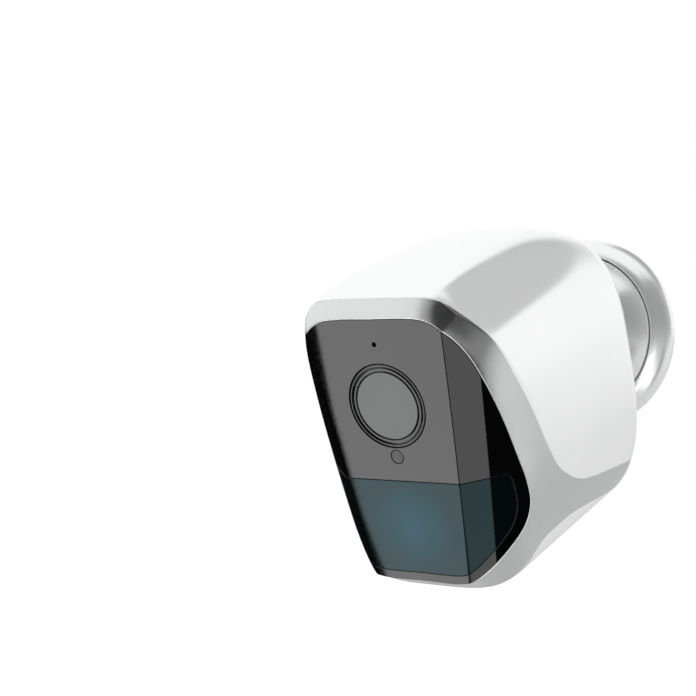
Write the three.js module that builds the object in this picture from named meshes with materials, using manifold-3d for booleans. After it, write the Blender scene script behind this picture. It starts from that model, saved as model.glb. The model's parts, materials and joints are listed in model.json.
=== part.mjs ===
// Battery security camera on a round magnetic wall mount, in millimetres.
//
// Two frames are used. The camera body is drawn in its own straight frame: the origin is the
// centre of the lens on the flat front facet, +X is the right-hand side seen from the front,
// +Y runs back along the body and +Z is up. The wall mount is drawn in the wall frame: the
// origin is the centre of the back face that rests on the wall, -Y points out of the wall and
// +Z is up. The finished body is pitched nose-down and moved onto the mount's ball.

import * as THREE from 'three';
import { mergeVertices } from 'three/addons/utils/BufferGeometryUtils.js';
import Module from 'manifold-3d';

const wasm = await Module();
wasm.setup();

// ---------------------------------------------------------------- driving dimensions

const PITCH = THREE.MathUtils.degToRad(20);
const LENS_BACK_FROM_WALL = 129.5;
const LENS_BELOW_MOUNT = 22.6;

const WALL = 2.2;
const GAP = 0.3;

const BODY = {
  halfWidth: 35,
  upperHeight: 48.2,
  lowerHeight: 55.4,
  axisHeight: -12.7,
  axisDrop: 0.0322,
  axisStation: 50,
  endY: 117.6,
  backY: 105,
  upperPower: 3.1,
  lowerPower: 2.75,
};
const SIDE_ROUNDING = { start: 86, power: 1.5 };
const TOP_ROUNDING = { start: 46, power: 2.26 };
const BELLY_ROUNDING = { start: 86, power: 3.2 };
const CHIN = { reach: 28, lift: 0.18, squareness: 1.6 };
const TOP_FLAT = { frontY: 4, frontZ: 31.9, reach: 32, rise: 3.9, sharpness: 30 };
const SHOULDER_FACET = { x: 0.799, z: 0.601, distance: 36.55, sharpness: 160 };

// Where the skin's rings lie: over the visor, over the rounded band behind it and along the body.
const OUTER_RINGS = {
  front: [0.4, 0.7, 0.9],
  band: [0, 0.35, 0.7, 1],
  body: [0.2, 0.4, 0.56, 0.7, 0.81, 0.89, 0.95, 1],
};
const INNER_RINGS = { front: [0.6], band: [0, 0.5, 1], body: [0.2, 0.45, 0.68, 0.88, 1] };

const VISOR = { thickness: 2.2, bend: 1.65, creaseX: 23.2, creaseTaper: 0.133, creaseZ: 8 };
const FLANGE = { thickness: 2, width: 5 };
const LENS = { ringRadius: 13, glassRadius: 10.4 };
const MICROPHONE_Z = 18.9;
const STATUS = { z: -15.9, radius: 2.1 };
const PIR = { topZ: -23.6, rim: 2.8, bottomZ: -53.4 };

const BALL = { radius: 30, y: 130.8, z: -23.5 };
const BALL_WALL_Y = 1.4;
const REAR_OPENING = { halfWidth: 17, top: 6, bottom: -50, corner: 8 };
const FLAP = { halfWidth: 11.3, frontY: 58.7, backY: 83.3, corner: 2.5 };
const TRAY = {
  halfWidth: 13.2,
  frontY: 56.8,
  backY: 85.2,
  bottomZ: -64.4,
  roofZ: -57,
  topZ: -55.5,
  wall: 1.2,
};
const USB = { y: 64, halfWidth: 4.6, halfHeight: 1.7 };
const CARD_SLOT = { y: 71, halfWidth: 6.8, halfHeight: 1.3 };
const BUTTON_Y = 78.5;
const POWER_BUTTON = { x: -5, radius: 2.4, tipZ: -59.4 };
const RESET_BUTTON = { x: 5, radius: 1.4, tipZ: -58.4 };
const BUTTON_CLEARANCE = 0.2;
const CELL = { radius: 9.2, x: 9.8, z: -11, frontY: 31.5, backY: 96.5 };

const COLOURS = {
  black: { color: 0x08090a, roughness: 0.12, metalness: 0 },
  blackSatin: { color: 0x141517, roughness: 0.45, metalness: 0 },
  silver: { color: 0xb9bcbe, roughness: 0.32, metalness: 0.75 },
  white: { color: 0xf0f1f1, roughness: 0.35, metalness: 0 },
  grey: { color: 0x8b9090, roughness: 0.5, metalness: 0 },
  teal: { color: 0x24383d, roughness: 0.15, metalness: 0 },
  glass: { color: 0x3a4540, roughness: 0.04, metalness: 0 },
  steel: { color: 0x9fa3a6, roughness: 0.3, metalness: 1 },
  board: { color: 0x12553a, roughness: 0.55, metalness: 0 },
  rubber: { color: 0x1c1d1e, roughness: 0.85, metalness: 0 },
  lightRubber: { color: 0xd8d9d8, roughness: 0.8, metalness: 0 },
  cell: { color: 0x2f6ea8, roughness: 0.4, metalness: 0 },
  chip: { color: 0x101214, roughness: 0.5, metalness: 0 },
  copper: { color: 0xb07a45, roughness: 0.4, metalness: 0.8 },
};

// ---------------------------------------------------------------- solids

function signedVolume(geometry) {
  const p = geometry.attributes.position;
  const index = geometry.index;
  const a = new THREE.Vector3();
  const b = new THREE.Vector3();
  const c = new THREE.Vector3();
  let total = 0;
  for (let i = 0; i < index.count; i += 3) {
    a.fromBufferAttribute(p, index.getX(i));
    b.fromBufferAttribute(p, index.getX(i + 1));
    c.fromBufferAttribute(p, index.getX(i + 2));
    total += a.dot(b.cross(c));
  }
  return total;
}

function solid(geometry) {
  geometry.deleteAttribute('normal');
  geometry.deleteAttribute('uv');
  const merged = mergeVertices(geometry, 1e-4);
  const triangles = Array.from(merged.index.array);
  if (signedVolume(merged) < 0) {
    triangles.reverse();
  }
  return new wasm.Manifold(new wasm.Mesh({
    numProp: 3,
    vertProperties: new Float32Array(merged.attributes.position.array),
    triVerts: new Uint32Array(triangles),
  }));
}

function toGeometry(manifold) {
  const mesh = manifold.getMesh();
  const geometry = new THREE.BufferGeometry();
  geometry.setAttribute('position', new THREE.BufferAttribute(mesh.vertProperties, 3));
  geometry.setIndex(new THREE.BufferAttribute(mesh.triVerts, 1));
  return geometry;
}

function box(x0, x1, y0, y1, z0, z1) {
  const geometry = new THREE.BoxGeometry(x1 - x0, y1 - y0, z1 - z0);
  geometry.translate((x0 + x1) / 2, (y0 + y1) / 2, (z0 + z1) / 2);
  return solid(geometry);
}

function turned(profile, x, z, sides = 32) {
  const points = profile.map(([radius, y]) => new THREE.Vector2(radius, y));
  const geometry = new THREE.LatheGeometry(points, sides);
  geometry.translate(x, 0, z);
  return solid(geometry);
}

function turnedUpright(profile, x, y, sides = 24) {
  const points = profile.map(([radius, z]) => new THREE.Vector2(radius, z));
  const geometry = new THREE.LatheGeometry(points, sides);
  geometry.rotateX(Math.PI / 2);
  geometry.translate(x, y, 0);
  return solid(geometry);
}

function disc(radius, y0, y1, x = 0, z = 0, sides = 32) {
  return turned([[0, y0], [radius, y0], [radius, y1], [0, y1]], x, z, sides);
}

function post(radius, z0, z1, x, y, sides = 24) {
  return turnedUpright([[0, z0], [radius, z0], [radius, z1], [0, z1]], x, y, sides);
}

function ring(inner, outer, y0, y1, x = 0, z = 0, sides = 32) {
  return turned([[inner, y0], [outer, y0], [outer, y1], [inner, y1], [inner, y0]], x, z, sides);
}

function frontPrism(outline, y0, y1) {
  const shape = new THREE.Shape(outline.map(([x, z]) => new THREE.Vector2(x, z)));
  const geometry = new THREE.ExtrudeGeometry(shape, { depth: y1 - y0, bevelEnabled: false });
  geometry.rotateX(Math.PI / 2);
  geometry.translate(0, y1, 0);
  return solid(geometry);
}

function plumbPrism(outline, z0, z1) {
  const shape = new THREE.Shape(outline.map(([x, y]) => new THREE.Vector2(x, y)));
  const geometry = new THREE.ExtrudeGeometry(shape, { depth: z1 - z0, bevelEnabled: false });
  geometry.translate(0, 0, z0);
  return solid(geometry);
}

function sidePrism(outline) {
  const reach = 60;
  const shape = new THREE.Shape(outline.map(([y, z]) => new THREE.Vector2(y, z)));
  const geometry = new THREE.ExtrudeGeometry(shape, { depth: 2 * reach, bevelEnabled: false });
  const turn = new THREE.Matrix4().makeBasis(
    new THREE.Vector3(0, 1, 0),
    new THREE.Vector3(0, 0, 1),
    new THREE.Vector3(1, 0, 0),
  );
  geometry.applyMatrix4(turn);
  geometry.translate(-reach, 0, 0);
  return solid(geometry);
}

function roundedRectangle(u0, u1, v0, v1, corner, steps = 4) {
  const centres = [[u1 - corner, v1 - corner], [u0 + corner, v1 - corner],
    [u0 + corner, v0 + corner], [u1 - corner, v0 + corner]];
  const points = [];
  centres.forEach(([u, v], quarter) => {
    for (let i = 0; i <= steps; i += 1) {
      const angle = (quarter + i / steps) * Math.PI / 2;
      points.push([u + corner * Math.cos(angle), v + corner * Math.sin(angle)]);
    }
  });
  return points;
}

// Joins closed rings that all have the same number of points, and caps both ends.
function stackRings(rings) {
  const count = rings[0].length;
  const positions = rings.flat(2);
  const index = [];
  for (let r = 0; r + 1 < rings.length; r += 1) {
    for (let k = 0; k < count; k += 1) {
      const next = (k + 1) % count;
      const a = r * count + k;
      const b = r * count + next;
      index.push(a, b, a + count, b, b + count, a + count);
    }
  }
  [0, rings.length - 1].forEach((r) => {
    const centre = positions.length / 3;
    const sum = rings[r].reduce((s, p) => [s[0] + p[0], s[1] + p[1], s[2] + p[2]], [0, 0, 0]);
    positions.push(sum[0] / count, sum[1] / count, sum[2] / count);
    for (let k = 0; k < count; k += 1) {
      const a = r * count + k;
      const b = r * count + ((k + 1) % count);
      index.push(...(r === 0 ? [centre, b, a] : [centre, a, b]));
    }
  });
  const geometry = new THREE.BufferGeometry();
  geometry.setAttribute('position', new THREE.Float32BufferAttribute(positions, 3));
  geometry.setIndex(index);
  return solid(geometry);
}

// ---------------------------------------------------------------- body surface

function clamp01(value) {
  return Math.min(1, Math.max(0, value));
}

function rounding(y, { start, power }) {
  const along = Math.min(0.9999, clamp01((y - start) / (BODY.endY - start)));
  return (1 - along ** power) ** (1 / power);
}

function axisZ(y) {
  return BODY.axisHeight - BODY.axisDrop * (y - BODY.axisStation);
}

function topFlatZ(y) {
  const along = clamp01((y - TOP_FLAT.frontY) / TOP_FLAT.reach);
  return TOP_FLAT.frontZ + TOP_FLAT.rise * (1 - (1 - along) ** 2);
}

function softMin(a, b, sharpness) {
  return (a ** -sharpness + b ** -sharpness) ** (-1 / sharpness);
}

// Distance of the outer skin from the body's axis at one angle and one station.
function bodyRadius(angle, y) {
  const c = Math.abs(Math.cos(angle));
  const s = Math.sin(angle);
  const width = BODY.halfWidth * rounding(y, SIDE_ROUNDING);
  const chin = clamp01((CHIN.reach - y) / CHIN.reach) ** 2;
  const upper = BODY.upperHeight * rounding(y, TOP_ROUNDING);
  const lower = BODY.lowerHeight * rounding(y, BELLY_ROUNDING) * (1 - CHIN.lift * chin);
  const height = s > 0 ? upper : lower;
  const power = s > 0 ? BODY.upperPower : BODY.lowerPower + CHIN.squareness * chin;
  let radius = ((c / width) ** power + (Math.abs(s) / height) ** power) ** (-1 / power);
  if (s > 0.05) {
    radius = softMin(radius, (topFlatZ(y) - axisZ(y)) / s, TOP_FLAT.sharpness);
    const facet = SHOULDER_FACET;
    const reach = (facet.distance - facet.z * axisZ(y)) / (facet.x * c + facet.z * s);
    radius = softMin(radius, reach, facet.sharpness);
  }
  return radius;
}

function bodyPoint(angle, y, inset) {
  const radius = bodyRadius(angle, y) - inset;
  return [radius * Math.cos(angle), y, axisZ(y) + radius * Math.sin(angle)];
}

// ---------------------------------------------------------------- visor edge and surface

const VISOR_EDGE = new THREE.CatmullRomCurve3([
  [0, 0, 26.5], [11.5, 0, 26.5], [17.5, 0.6, 25.6], [22, 1.3, 22.9], [25, 2.3, 19.8], [28, 4.05, 14],
  [30.2, 6.5, 5], [32.3, 9, -7], [33.4, 11.4, -19], [33.9, 13.4, -28], [33.5, 13.9, -35],
  [31.4, 12.1, -41.5], [27.3, 7.9, -47.4], [22.5, 3.4, -52.4], [18.5, 0.9, -55], [13, 0, -56.1],
  [0, 0, -56.1],
].map(([x, y, z]) => new THREE.Vector3(x, y, z)), false, 'centripetal');

const EDGE_STEPS = 20;
const HALF_EDGE = VISOR_EDGE.getSpacedPoints(EDGE_STEPS);
const FINE_EDGE = VISOR_EDGE.getSpacedPoints(400);

// The whole edge once round, anticlockwise seen from the front, starting at the top.
function wholeEdge() {
  const left = HALF_EDGE.map((p) => new THREE.Vector3(-p.x, p.y, p.z));
  const right = HALF_EDGE.slice(1, -1).reverse();
  return left.concat(right);
}

function edgeAtHeight(z) {
  for (let i = 1; i < FINE_EDGE.length; i += 1) {
    const above = FINE_EDGE[i - 1];
    const below = FINE_EDGE[i];
    if (above.z > z && below.z <= z) {
      const along = (above.z - z) / (above.z - below.z);
      return { x: above.x + (below.x - above.x) * along, y: above.y + (below.y - above.y) * along };
    }
  }
  return z > 0 ? { x: 11.5, y: 0 } : { x: 13, y: 0.2 };
}

function visorY(x, z) {
  const edge = edgeAtHeight(z);
  const taper = VISOR.creaseTaper * Math.max(0, VISOR.creaseZ - z);
  const crease = Math.min(VISOR.creaseX - taper, edge.x - 3);
  const across = (Math.abs(x) - crease) / (edge.x - crease);
  return across > 0 ? edge.y * Math.min(across, 1.2) ** VISOR.bend : 0;
}

// Columns and rows of the visor's surface: the flat middle needs none, the wings need most.
const WING_X = [15, 18, 20.5, 23, 26, 29, 32, 35];
const VISOR_X = WING_X.map((x) => -x).reverse().concat(WING_X);
const VISOR_Z = [-57.5, -55.5, -53, -50, -46, -42, -38, -34, -29, -22, -14, -4, 6, 14, 19, 23, 27.5];

// A block whose front face follows the visor, moved back by an offset.
function behindVisor(offset) {
  const back = 40;
  const rings = VISOR_X.map((x) => {
    const front = VISOR_Z.map((z) => [x, visorY(x, z) + offset, z]);
    const rear = [[x, back, VISOR_Z[VISOR_Z.length - 1]], [x, back, VISOR_Z[0]]];
    return front.concat(rear);
  });
  return stackRings(rings);
}

function edgeOutline(inset) {
  const edge = wholeEdge();
  return edge.map((p, k) => {
    const before = edge[(k + edge.length - 1) % edge.length];
    const after = edge[(k + 1) % edge.length];
    const along = new THREE.Vector2(after.x - before.x, after.z - before.z).normalize();
    return [p.x - along.y * inset, p.z + along.x * inset];
  });
}

// ---------------------------------------------------------------- body solids

function bandDepth(angle) {
  const down = Math.sin(angle);
  if (down > 0) {
    return 3.9 + 9 * Math.cos(angle) ** 4;
  }
  return 6 + 7 * Math.cos(angle) ** 2;
}

function bodySolid(inset, frontY, backY, rows) {
  const edge = wholeEdge();
  const columns = edge.map((p) => ({
    angle: Math.atan2(p.z - axisZ(p.y), p.x),
    radius: Math.hypot(p.x, p.z - axisZ(p.y)) - inset,
    y: p.y,
  }));
  const rings = [];
  rows.front.forEach((fraction) => {
    rings.push(edge.map((p, k) => {
      const { angle, radius } = columns[k];
      const x = fraction * radius * Math.cos(angle);
      const z = axisZ(p.y) + fraction * radius * Math.sin(angle);
      return [x, visorY(x, z) + frontY - 1, z];
    }));
  });
  rows.band.forEach((along) => {
    rings.push(columns.map(({ angle, radius, y }) => {
      const station = y + bandDepth(angle) * along;
      const outer = bodyRadius(angle, station) - inset;
      const here = radius + (outer - radius) * along ** 0.85;
      return [here * Math.cos(angle), station + frontY, axisZ(station) + here * Math.sin(angle)];
    }));
  });
  rows.body.forEach((along) => {
    rings.push(columns.map(({ angle, y }) => {
      const start = y + bandDepth(angle);
      return bodyPoint(angle, start + (backY - start) * along, inset);
    }));
  });
  return stackRings(rings);
}

// ---------------------------------------------------------------- parting lines, side view

const PARTING = new THREE.CatmullRomCurve3([
  [3.4, 40], [3.6, 32], [5.6, 27.8], [10.4, 18], [14.8, 7.2], [20.7, -6.4], [27, -22.6],
  [31.5, -30.6], [38.2, -36.6], [46.5, -41.7], [56, -44.9], [76.5, -50.1], [112, -58.7],
].map(([y, z]) => new THREE.Vector3(y, z, 0)), false, 'centripetal');

function offsetLine(points, distance) {
  return points.map((p, k) => {
    const before = points[Math.max(0, k - 1)];
    const after = points[Math.min(points.length - 1, k + 1)];
    const along = new THREE.Vector2(after.x - before.x, after.y - before.y).normalize();
    return [p.x + along.y * distance, p.y - along.x * distance];
  });
}

function upperRegion(grow) {
  const line = offsetLine(PARTING.getSpacedPoints(36), grow);
  return sidePrism(line.concat([[130, -50], [130, 70], [0, 70]]));
}

function bellyRegion(grow) {
  const front = 19 - grow;
  const top = -51.6 + grow;
  return sidePrism([
    [front - 3, -90], [front, top - 5], [front + 2.5, top - 1.7], [front + 7, top],
    [front + 22, top - 0.4], [50, top - 1.9], [70, top - 6.8], [90 + grow, top - 11.4], [90 + grow, -90],
  ]);
}

// ---------------------------------------------------------------- housing pieces

const OUTER = bodySolid(0, 0, BODY.backY, OUTER_RINGS);
const INNER = bodySolid(WALL, WALL + FLANGE.thickness + 1, BODY.backY - WALL, INNER_RINGS);
const SHELL = OUTER.subtract(INNER);

function visorPlate(inset) {
  const plate = behindVisor(0).subtract(behindVisor(VISOR.thickness));
  return plate.intersect(frontPrism(edgeOutline(inset), -5, 39));
}

function pirOutline(grow) {
  const rim = edgeOutline(PIR.rim - grow).filter(([, z]) => z < PIR.topZ + grow - 0.8);
  const lowered = rim.map(([x, z]) => [x, Math.max(z, PIR.bottomZ - grow)]);
  const left = lowered[0][0];
  const right = lowered[lowered.length - 1][0];
  const top = PIR.topZ + grow;
  return lowered.concat([
    [right - 0.3, top - 0.3], [right - 1, top], [left + 1, top], [left + 0.3, top - 0.3],
  ]);
}

function visorWithWindows() {
  return visorPlate(0.1)
    .subtract(disc(LENS.ringRadius + 0.15, -2, 6))
    .subtract(disc(STATUS.radius + 0.15, -2, 6, 0, STATUS.z, 20))
    .subtract(disc(0.7, -2, 6, 0, MICROPHONE_Z, 12))
    .subtract(frontPrism(pirOutline(0.15), -5, 39));
}

function pirWindow() {
  return visorPlate(0.1).intersect(frontPrism(pirOutline(0), -5, 39));
}

function silverFrame() {
  const pocket = frontPrism(edgeOutline(-0.1), -6, 38).subtract(behindVisor(VISOR.thickness + 0.15));
  const flange = behindVisor(VISOR.thickness + 0.15)
    .subtract(behindVisor(VISOR.thickness + FLANGE.thickness))
    .intersect(frontPrism(edgeOutline(-0.1), -6, 38));
  return SHELL.subtract(pocket)
    .subtract(upperRegion(0))
    .subtract(bellyRegion(0))
    .subtract(frontPrism(edgeOutline(FLANGE.width), -6, 30))
    .add(flange.subtract(frontPrism(edgeOutline(FLANGE.width), -6, 38)).intersect(OUTER));
}

function rearOutline(grow) {
  const r = REAR_OPENING;
  const reach = r.halfWidth + grow;
  return roundedRectangle(-reach, reach, r.bottom - grow, r.top + grow, r.corner);
}

function whiteShell() {
  return SHELL.intersect(upperRegion(-GAP))
    .subtract(frontPrism(rearOutline(GAP), BODY.backY - 8, BODY.backY + 8));
}

function flapOutline(grow) {
  const f = FLAP;
  const reach = f.halfWidth + grow;
  return roundedRectangle(-reach, reach, f.frontY - grow, f.backY + grow, f.corner);
}

const SOUND_HOLES = 6;
const SPEAKER = { y: 37, radius: 10.5 };

function bellyCover() {
  let cover = SHELL.intersect(bellyRegion(-GAP))
    .subtract(plumbPrism(flapOutline(GAP), -80, -60))
    .subtract(post(1, -80, -60, 0, SPEAKER.y, 10));
  for (let i = 0; i < SOUND_HOLES; i += 1) {
    const angle = i * 2 * Math.PI / SOUND_HOLES;
    const x = 4.5 * Math.cos(angle);
    const y = SPEAKER.y + 4.5 * Math.sin(angle);
    cover = cover.subtract(post(1, -80, -60, x, y, 10));
  }
  return cover;
}

function portFlap() {
  return SHELL.intersect(plumbPrism(flapOutline(0), -80, -60));
}

const REAR_SCREWS = [[13.4, -1.5], [-13.4, -1.5], [13.4, -44], [-13.4, -44]];

function rearPanel() {
  let panel = frontPrism(rearOutline(0), BODY.backY - WALL, BODY.backY);
  panel = panel.subtract(disc(16.4, BODY.backY - 9, BODY.backY + 5, 0, BALL.z, 32));
  REAR_SCREWS.forEach(([x, z]) => {
    panel = panel.subtract(disc(1.5, BODY.backY - 5, BODY.backY + 5, x, z, 10));
    panel = panel.subtract(disc(2.7, BODY.backY - 1.2, BODY.backY + 5, x, z, 10));
  });
  return panel;
}

function rearScrew(x, z) {
  const head = BODY.backY - 0.2;
  return turned([
    [0, head - 6], [1.3, head - 6], [1.3, head - 0.8], [2.5, head - 0.8], [2.5, head], [0, head],
  ], x, z, 10);
}

// ---------------------------------------------------------------- optics and sensors

function lensRing() {
  const r = LENS;
  return turned([
    [r.glassRadius + 0.1, 2.1], [r.glassRadius + 0.1, 0.05], [11.8, 0.05], [11.9, 0.25],
    [12.2, 0], [r.ringRadius, 0], [r.ringRadius, 2.1], [r.glassRadius + 0.1, 2.1],
  ], 0, 0, 32);
}

function lensGlass() {
  return disc(LENS.glassRadius, 0.2, 1.8, 0, 0, 36);
}

function lensBarrel() {
  return turned([
    [0, 4.6], [3.5, 4.2], [6.2, 2.6], [7, 2.6], [7, 13.5], [8.8, 13.5], [8.8, 16.5], [0, 16.5],
  ], 0, 0, 24);
}

function infraredRing() {
  let board = ring(8.9, 16, 3.4, 4.6, 0, 0, 24);
  for (let i = 0; i < 8; i += 1) {
    const angle = (i + 0.5) * Math.PI / 4;
    board = board.add(disc(1.1, 2.5, 3.6, 14.3 * Math.cos(angle), 14.3 * Math.sin(angle), 8));
  }
  return board;
}

function pirSensor() {
  return turned([
    [0, 4.4], [3.8, 4.4], [4.1, 4.7], [4.1, 7.5], [4.6, 7.5], [4.6, 8.2], [0, 8.2],
  ], 0, -38, 28);
}

function frontChassis() {
  const outline = roundedRectangle(-18.5, 18.5, -49, 22, 6);
  return frontPrism(outline, 8.4, 10.4)
    .subtract(disc(9.1, 5, 14, 0, 0, 32))
    .add(box(-18, -16, 10, 21, -40, 14))
    .add(box(16, 18, 10, 21, -40, 14));
}

// ---------------------------------------------------------------- boards and battery

function usbSocket() {
  const { y, halfWidth, halfHeight } = USB;
  const sheet = 0.4;
  const outer = roundedRectangle(-halfWidth, halfWidth, y - halfHeight, y + halfHeight, 1.5, 3);
  const mouth = roundedRectangle(
    sheet - halfWidth,
    halfWidth - sheet,
    y - halfHeight + sheet,
    y + halfHeight - sheet,
    1.2,
    3,
  );
  return plumbPrism(outer, -57.6, -50.5)
    .subtract(plumbPrism(mouth, -60, -51.2))
    .add(box(-3.2, 3.2, y - 0.35, y + 0.35, -57.2, -51));
}

function cardSocket() {
  const { y, halfWidth, halfHeight } = CARD_SLOT;
  return box(-halfWidth, halfWidth, y - halfHeight, y + halfHeight, -56.8, -41)
    .subtract(box(0.9 - halfWidth, halfWidth - 0.9, y - 0.8, y + 0.8, -60, -42));
}

function memoryCard() {
  const { y } = CARD_SLOT;
  return box(-5.5, 5.5, y - 0.5, y + 0.5, -58.3, -43.4);
}

// Slots through the tray and its board for the two sockets.
function socketSlots() {
  return [USB, CARD_SLOT].map(({ y, halfWidth, halfHeight }) => {
    const reach = halfWidth + GAP;
    return box(-reach, reach, y - halfHeight - GAP, y + halfHeight + GAP, -80, -40);
  });
}

function buttonHoles() {
  return [POWER_BUTTON, RESET_BUTTON].map(({ x, radius }) => (
    post(radius + BUTTON_CLEARANCE, -80, -40, x, BUTTON_Y)
  ));
}

function serviceTray() {
  const t = TRAY;
  const inside = t.halfWidth - t.wall;
  const hollow = box(-inside, inside, t.frontY + t.wall, t.backY - t.wall, -80, t.roofZ);
  let tray = box(-t.halfWidth, t.halfWidth, t.frontY, t.backY, t.bottomZ, t.topZ).subtract(hollow);
  socketSlots().concat(buttonHoles()).forEach((cut) => {
    tray = tray.subtract(cut);
  });
  return tray;
}

function ioBoard() {
  let board = box(-12.8, 12.8, 57.2, 84.8, -53.2, -51.8);
  socketSlots().forEach((cut) => {
    board = board.subtract(cut);
  });
  return board;
}

function pushButton({ x, radius, tipZ }) {
  const collar = radius + 0.8;
  return turnedUpright([
    [0, tipZ], [radius - 0.3, tipZ], [radius, tipZ + 0.3], [radius, -55.2], [collar, -55.2],
    [collar, -54.4], [0, -54.4],
  ], x, BUTTON_Y);
}

function batteryCell(side) {
  const { radius, frontY, backY, x, z } = CELL;
  return turned([
    [0, frontY], [3, frontY], [3, frontY + 1], [radius - 0.6, frontY + 1],
    [radius, frontY + 1.6], [radius, backY - 0.4], [radius - 0.4, backY], [0, backY],
  ], side * x, z, 24);
}

function batteryCradle() {
  const { radius, frontY, backY, x, z } = CELL;
  const y0 = frontY + 3;
  const y1 = backY - 3;
  return box(-x - 9.5, x + 9.5, y0, y1, z - radius - 2.5, z - 3)
    .subtract(disc(radius + 0.3, 0, 120, x, z, 24))
    .subtract(disc(radius + 0.3, 0, 120, -x, z, 24));
}

function mainBoard() {
  return frontPrism(roundedRectangle(-22, 22, -46, 16, 2, 2), 25, 26.4);
}

function speaker() {
  const r = SPEAKER.radius;
  return turnedUpright([
    [0, -62.8], [r - 2.5, -62.8], [r - 2, -63.4], [r, -63.4], [r, -61.2],
    [r - 3.5, -60], [r - 3.5, -57.2], [0, -57.2],
  ], 0, SPEAKER.y);
}

// ---------------------------------------------------------------- seat on the ball

function capProfile(radius, y, from, to, steps) {
  const points = [];
  for (let i = 0; i <= steps; i += 1) {
    const reach = from + (to - from) * i / steps;
    points.push([reach, y - Math.sqrt(radius ** 2 - reach ** 2)]);
  }
  return points;
}

function steelCup() {
  const inner = capProfile(BALL.radius + 1.1, BALL.y, 0, 16, 4);
  const outer = capProfile(BALL.radius + 2.2, BALL.y, 0, 16, 4);
  return turned(outer.concat([[16, BODY.backY - 0.4]], inner.reverse()), 0, BALL.z, 28);
}

function gripRing() {
  const inner = capProfile(BALL.radius + 0.15, BALL.y, 9, 14.5, 2);
  const outer = capProfile(BALL.radius + 0.75, BALL.y, 9, 14.5, 2).reverse();
  return turned(inner.concat(outer, [inner[0]]), 0, BALL.z, 28);
}

// ---------------------------------------------------------------- wall mount, wall frame

const DISH = { radius: 33.3, seamRadius: 27.4, seamY: -11 };

function wallPad() {
  return disc(27, -1.2, 0, 0, 0, 32)
    .subtract(disc(2.4, -3, 3, 0, 19, 16))
    .subtract(disc(2.4, -3, 3, 0, -19, 16));
}

function wallDish() {
  const { radius, seamRadius, seamY } = DISH;
  return turned([
    [4.2, -1.5], [radius - 1.8, -1.5], [radius - 0.4, -2.6], [radius, -4.4], [radius - 0.5, -7],
    [radius - 1.9, -8.6], [seamRadius + 0.6, seamY], [seamRadius + 0.2, seamY + 0.3],
    [seamRadius + 0.2, -7], [2.2, -7], [2.2, -5.2], [4.2, -5.2], [4.2, -1.5],
  ], 0, 0, 40)
    .subtract(disc(2.4, -20, 3, 0, 19, 16))
    .subtract(disc(2.4, -20, 3, 0, -19, 16));
}

function mountDome() {
  const outer = capProfile(BALL.radius, BALL_WALL_Y, 0, DISH.seamRadius - 0.15, 6);
  const inner = capProfile(BALL.radius - 2.5, BALL_WALL_Y, 0, 23.5, 4).reverse();
  return turned(outer.concat([[DISH.seamRadius - 0.15, -9.4], [23.5, -9.4]], inner), 0, 0, 40);
}

function magnetHolder() {
  return turned([
    [0, -18.1], [11.8, -18.1], [11.8, -21.5], [13.4, -21.5], [13.4, -16], [5, -16], [5, -9.4],
    [22.8, -9.4], [22.8, -8.2], [2.1, -8.2], [2.1, -14.4], [0, -14.4],
  ], 0, 0, 24);
}

function swivelScrew() {
  return turned([
    [0, -13.6], [1.8, -13.6], [1.8, -4.8], [3.8, -4.8], [3.8, -2.6], [0, -2.6],
  ], 0, 0, 20);
}

function swivelWasher() {
  return ring(14, 26.5, -8, -7.2, 0, 0, 32);
}

// ---------------------------------------------------------------- assembly

const group = new THREE.Group();
const cameraGroup = new THREE.Group();
const mountGroup = new THREE.Group();
cameraGroup.rotation.x = PITCH;
cameraGroup.position.set(0, -LENS_BACK_FROM_WALL, -LENS_BELOW_MOUNT);
group.add(cameraGroup, mountGroup);

function addNode(parent, name, look, manifold) {
  const geometry = toGeometry(manifold);
  geometry.computeVertexNormals();
  const mesh = new THREE.Mesh(geometry, new THREE.MeshStandardMaterial(COLOURS[look]));
  mesh.name = name;
  parent.add(mesh);
}

function addBody(name, look, manifold) {
  addNode(cameraGroup, name, look, manifold);
}

function addMount(name, look, manifold) {
  addNode(mountGroup, name, look, manifold);
}

addBody('front_visor', 'black', visorWithWindows());
addBody('pir_window', 'teal', pirWindow());
addBody('silver_frame', 'silver', silverFrame());
addBody('white_shell', 'white', whiteShell());
addBody('belly_cover', 'white', bellyCover());
addBody('port_flap', 'lightRubber', portFlap());
addBody('rear_panel', 'white', rearPanel());

addBody('lens_ring', 'black', lensRing());
addBody('lens_glass', 'glass', lensGlass());
addBody('status_window', 'grey', disc(STATUS.radius, 0.05, 2, 0, STATUS.z, 24));
addBody('lens_barrel', 'blackSatin', lensBarrel());
addBody('image_sensor', 'chip', box(-5, 5, 16.7, 17.9, -4.5, 4.5));
addBody('sensor_board', 'board', box(-13, 13, 18, 19.4, -13, 13));
addBody('infrared_ring', 'board', infraredRing());
addBody('microphone', 'steel', disc(2.2, 2.6, 4.4, 0, MICROPHONE_Z, 20));
addBody('pir_sensor', 'steel', pirSensor());
addBody('front_chassis', 'blackSatin', frontChassis());

addBody('main_board', 'board', mainBoard());
addBody('processor', 'chip', box(-7, 7, 23.4, 24.9, -9, 5));
addBody('radio_shield', 'steel', box(-12, 6, 22.6, 24.9, -38, -20));
addBody('antenna', 'copper', box(-14, 14, 40, 52, 27.2, 27.8));
addBody('battery_left', 'cell', batteryCell(-1));
addBody('battery_right', 'cell', batteryCell(1));
addBody('battery_cradle', 'blackSatin', batteryCradle());
addBody('speaker', 'blackSatin', speaker());
addBody('service_tray', 'blackSatin', serviceTray());
addBody('io_board', 'board', ioBoard());
addBody('usb_socket', 'steel', usbSocket());
addBody('card_socket', 'steel', cardSocket());
addBody('memory_card', 'chip', memoryCard());
addBody('power_button', 'grey', pushButton(POWER_BUTTON));
addBody('reset_button', 'grey', pushButton(RESET_BUTTON));

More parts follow.
